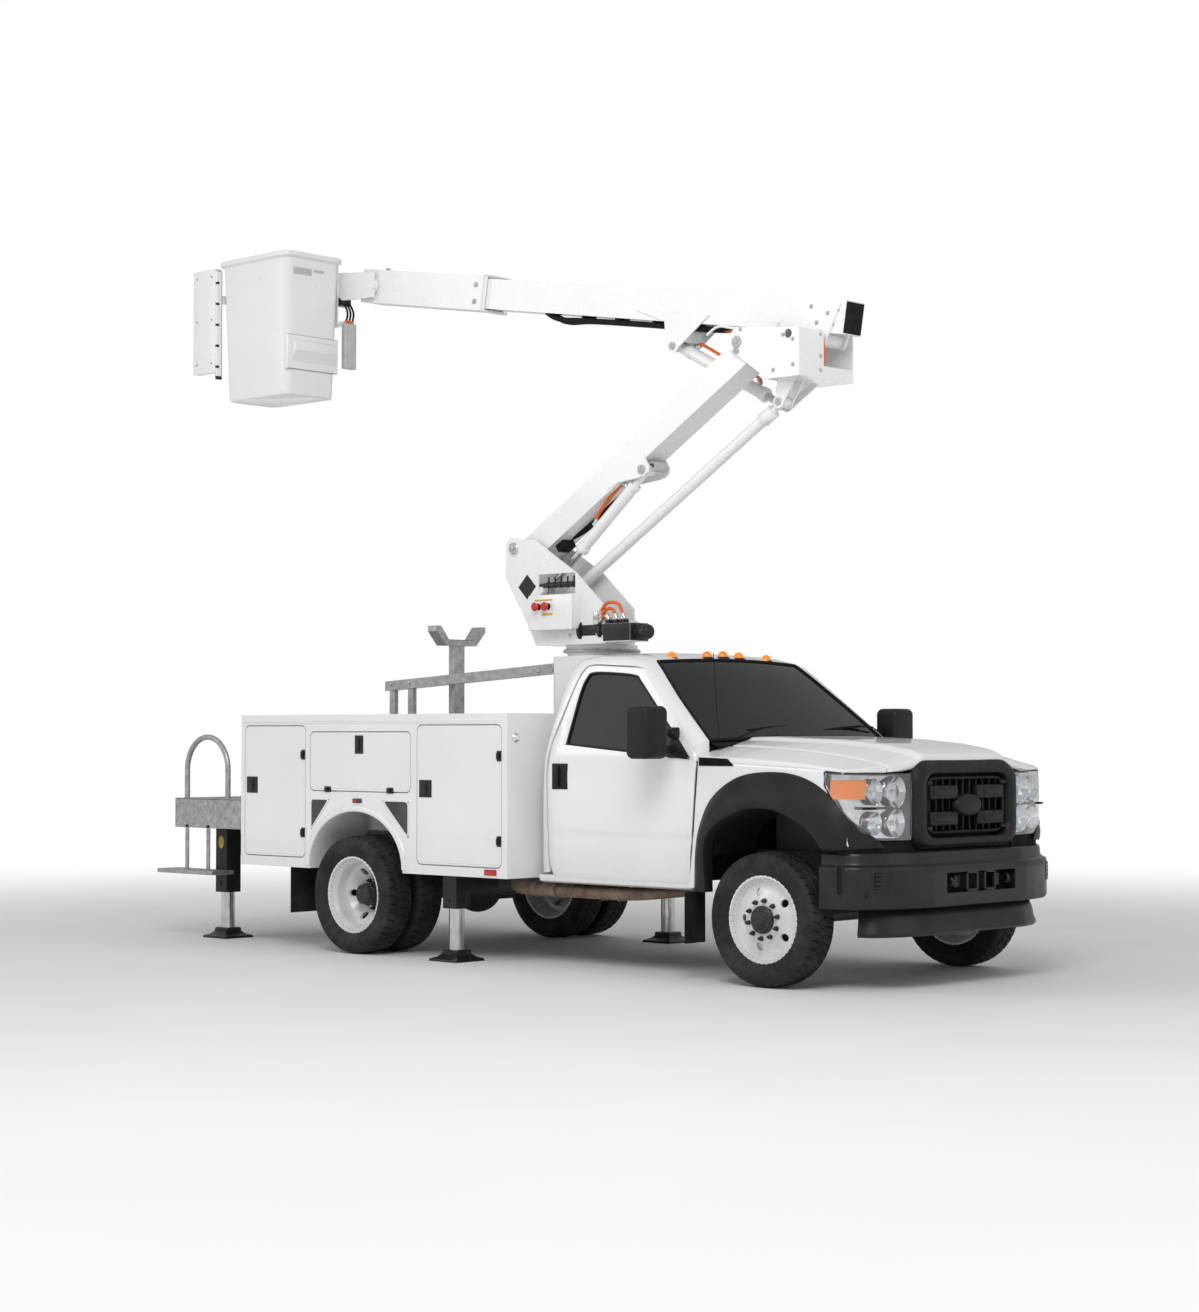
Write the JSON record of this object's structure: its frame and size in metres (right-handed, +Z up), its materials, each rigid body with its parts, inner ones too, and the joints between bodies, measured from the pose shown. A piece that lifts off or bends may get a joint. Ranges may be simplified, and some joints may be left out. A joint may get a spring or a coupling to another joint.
{
  "type": "cherry_picker_truck",
  "caption": "White utility truck with a folding, telescoping boom and work bucket on a slewing pedestal, service body and outriggers",
  "frame": {"origin": "centre of the bounding box on the ground", "axes": "+X to the front of the truck, +Y to its left, +Z up"},
  "size_m": [6.8394, 2.69, 5.0742],
  "materials": {
    "chassis_black": "satin",
    "body_white": "gloss",
    "bucket_white": "gloss",
    "rim_white": "gloss",
    "tyre_rubber": "matte",
    "flap_rubber": "matte",
    "window_glass": "gloss",
    "trim_black": "matte",
    "seat_cloth": "matte",
    "lamp_lens": "gloss",
    "galvanised": "satin",
    "rod_chrome": "gloss"
  },
  "bodies": {
    "truck": {"chassis_frame": "chassis_black", "powertrain": "chassis_black", "front_axle": "chassis_black", "rear_axle": "chassis_black", "cab_shell": "body_white", "cab_glass": "window_glass", "dashboard": "trim_black", "seats": "seat_cloth", "fenders": "body_white", "wheel_flares": "trim_black", "grille": "trim_black", "headlamps": "lamp_lens", "front_bumper": "trim_black", "service_body": "body_white", "tail_shelf": "galvanised", "mud_flaps": "flap_rubber", "outrigger_housings": "chassis_black", "pedestal": "body_white", "boom_rest": "galvanised"},
    "left_steer": {"left_knuckle": "chassis_black"},
    "left_front_wheel": {"left_front_rim": "rim_white", "left_front_tyre": "tyre_rubber"},
    "left_rear_wheels": {"left_rear_rims": "rim_white", "left_rear_tyres": "tyre_rubber"},
    "left_cab_door": {"left_door": "body_white", "left_door_glass": "window_glass", "left_mirror": "trim_black"},
    "left_rear_hatch": {"left_rear_lid": "body_white"},
    "left_middle_hatch": {"left_middle_lid": "body_white"},
    "left_front_hatch": {"left_front_lid": "body_white"},
    "left_rear_outrigger": {"left_rear_leg": "galvanised"},
    "left_middle_outrigger": {"left_middle_leg": "galvanised"},
    "right_steer": {"right_knuckle": "chassis_black"},
    "right_front_wheel": {"right_front_rim": "rim_white", "right_front_tyre": "tyre_rubber"},
    "right_rear_wheels": {"right_rear_rims": "rim_white", "right_rear_tyres": "tyre_rubber"},
    "right_cab_door": {"right_door": "body_white", "right_door_glass": "window_glass", "right_mirror": "trim_black"},
    "right_rear_hatch": {"right_rear_lid": "body_white"},
    "right_middle_hatch": {"right_middle_lid": "body_white"},
    "right_front_hatch": {"right_front_lid": "body_white"},
    "right_rear_outrigger": {"right_rear_leg": "galvanised"},
    "right_middle_outrigger": {"right_middle_leg": "galvanised"},
    "hood_body": {"hood": "body_white"},
    "turret_body": {"turret": "body_white"},
    "lower_boom_body": {"lower_boom": "body_white"},
    "lift_barrel_body": {"lift_barrel": "body_white"},
    "lift_rod_body": {"lift_rod": "rod_chrome"},
    "levelling_link_body": {"levelling_link": "body_white"},
    "elbow_body": {"elbow": "body_white"},
    "upper_boom_body": {"upper_boom": "body_white"},
    "fold_barrel_body": {"fold_barrel": "body_white"},
    "fold_rod_body": {"fold_rod": "rod_chrome"},
    "inner_boom_body": {"inner_boom": "body_white"},
    "bucket_body": {"bucket_mount": "body_white", "bucket": "bucket_white"}
  },
  "joints": [
    {"name": "steer_right", "type": "hinge", "parent": "truck", "child": "right_steer", "pos_m": [2.58667, -0.79, 0.4], "axis": [0, 0, 1], "range_deg": [-32, 32]},
    {"name": "steer_left", "type": "hinge", "parent": "truck", "child": "left_steer", "pos_m": [2.58667, 0.79, 0.4], "axis": [0, 0, 1], "range_deg": [-32, 32]},
    {"name": "right_front_roll", "type": "hinge", "parent": "right_steer", "child": "right_front_wheel", "pos_m": [2.58667, -0.95, 0.4], "axis": [0, 1, 0], "continuous": true},
    {"name": "right_rear_roll", "type": "hinge", "parent": "truck", "child": "right_rear_wheels", "pos_m": [-0.92333, -0.945, 0.4], "axis": [0, 1, 0], "continuous": true},
    {"name": "right_cab_door_swing", "type": "hinge", "parent": "truck", "child": "right_cab_door", "pos_m": [2.04167, -1.006, 1.2], "axis": [0, 0, 1], "range_deg": [0, 65]},
    {"name": "right_rear_hatch_swing", "type": "hinge", "parent": "truck", "child": "right_rear_hatch", "pos_m": [-1.40233, -1.194, 1.095], "axis": [0, 0, 1], "range_deg": [0, 90]},
    {"name": "right_front_hatch_swing", "type": "hinge", "parent": "truck", "child": "right_front_hatch", "pos_m": [0.54667, -1.194, 1.095], "axis": [0, 0, 1], "range_deg": [0, 90]},
    {"name": "right_middle_hatch_drop", "type": "hinge", "parent": "truck", "child": "right_middle_hatch", "pos_m": [-0.83533, -1.194, 1.102], "axis": [1, 0, 0], "range_deg": [0, 90]},
    {"name": "right_rear_outrigger_lift", "type": "slide", "parent": "truck", "child": "right_rear_outrigger", "axis": [0, 0, -1], "range_m": [-0.25, 0]},
    {"name": "right_middle_outrigger_lift", "type": "slide", "parent": "truck", "child": "right_middle_outrigger", "axis": [0, 0, -1], "range_m": [-0.25, 0]},
    {"name": "left_front_roll", "type": "hinge", "parent": "left_steer", "child": "left_front_wheel", "pos_m": [2.58667, 0.95, 0.4], "axis": [0, 1, 0], "continuous": true},
    {"name": "left_rear_roll", "type": "hinge", "parent": "truck", "child": "left_rear_wheels", "pos_m": [-0.92333, 0.945, 0.4], "axis": [0, 1, 0], "continuous": true},
    {"name": "left_cab_door_swing", "type": "hinge", "parent": "truck", "child": "left_cab_door", "pos_m": [2.04167, 1.006, 1.2], "axis": [0, 0, -1], "range_deg": [0, 65]},
    {"name": "left_rear_hatch_swing", "type": "hinge", "parent": "truck", "child": "left_rear_hatch", "pos_m": [-1.40233, 1.194, 1.095], "axis": [0, 0, -1], "range_deg": [0, 90]},
    {"name": "left_front_hatch_swing", "type": "hinge", "parent": "truck", "child": "left_front_hatch", "pos_m": [0.54667, 1.194, 1.095], "axis": [0, 0, -1], "range_deg": [0, 90]},
    {"name": "left_middle_hatch_drop", "type": "hinge", "parent": "truck", "child": "left_middle_hatch", "pos_m": [-0.83533, 1.194, 1.102], "axis": [-1, 0, 0], "range_deg": [0, 90]},
    {"name": "left_rear_outrigger_lift", "type": "slide", "parent": "truck", "child": "left_rear_outrigger", "axis": [0, 0, -1], "range_m": [-0.25, 0]},
    {"name": "left_middle_outrigger_lift", "type": "slide", "parent": "truck", "child": "left_middle_outrigger", "axis": [0, 0, -1], "range_m": [-0.25, 0]},
    {"name": "hood_lift", "type": "hinge", "parent": "truck", "child": "hood_body", "pos_m": [2.03267, 0, 1.466], "axis": [0, -1, 0], "range_deg": [0, 50]},
    {"name": "slew", "type": "hinge", "parent": "truck", "child": "turret_body", "pos_m": [0.29867, 0, 2.096], "axis": [0, 0, 1], "continuous": true},
    {"name": "lower_boom_lift", "type": "hinge", "parent": "turret_body", "child": "lower_boom_body", "pos_m": [-0.24833, -0.15, 2.77], "axis": [0, -1, 0], "range_deg": [-45, 45]},
    {"name": "elbow_level", "type": "hinge", "parent": "lower_boom_body", "child": "elbow_body", "pos_m": [1.74515, -0.15, 3.9916], "axis": [0, -1, 0], "range_deg": [-45, 45]},
    {"name": "link_swing", "type": "hinge", "parent": "turret_body", "child": "levelling_link_body", "pos_m": [-0.00633, -0.103, 2.378], "axis": [0, -1, 0], "range_deg": [-45, 45]},
    {"name": "lift_barrel_swing", "type": "hinge", "parent": "lower_boom_body", "child": "lift_barrel_body", "pos_m": [0.90753, -0.2, 3.23788], "axis": [0, -1, 0], "range_deg": [-1, 1]},
    {"name": "lift_rod_slide", "type": "slide", "parent": "lift_barrel_body", "child": "lift_rod_body", "axis": [-0.7718, 0, -0.6359], "range_m": [-0.27, 0.27]},
    {"name": "upper_boom_lift", "type": "hinge", "parent": "elbow_body", "child": "upper_boom_body", "pos_m": [2.16615, 0.12, 3.9996], "axis": [0, 1, 0], "range_deg": [-10.8, 70]},
    {"name": "fold_barrel_swing", "type": "hinge", "parent": "upper_boom_body", "child": "fold_barrel_body", "pos_m": [0.93339, 0.12, 4.08408], "axis": [0, -1, 0], "range_deg": [-2, 6.5]},
    {"name": "fold_rod_slide", "type": "slide", "parent": "fold_barrel_body", "child": "fold_rod_body", "axis": [0.8807, 0, -0.4736], "range_m": [-0.1, 0.62]},
    {"name": "telescope", "type": "slide", "parent": "upper_boom_body", "child": "inner_boom_body", "axis": [-0.9866, 0, 0.1633], "range_m": [0, 1.1]},
    {"name": "bucket_level", "type": "hinge", "parent": "inner_boom_body", "child": "bucket_body", "pos_m": [-2.07167, 0.12, 4.85118], "axis": [0, 1, 0], "range_deg": [-70, 10.8]}
  ],
  "couplings": [
    {"joint": "steer_left", "follows": "steer_right", "ratio": 1},
    {"joint": "elbow_level", "follows": "lower_boom_lift", "ratio": -1},
    {"joint": "link_swing", "follows": "lower_boom_lift", "ratio": 1},
    {"joint": "lift_barrel_swing", "follows": "lower_boom_lift", "ratio": -0.00761},
    {"joint": "lift_rod_slide", "follows": "lower_boom_lift", "m_per_rad": 0.33831},
    {"joint": "fold_barrel_swing", "follows": "upper_boom_lift", "ratio": 0.07624},
    {"joint": "fold_rod_slide", "follows": "upper_boom_lift", "m_per_rad": 0.49393},
    {"joint": "bucket_level", "follows": "upper_boom_lift", "ratio": -1}
  ]
}
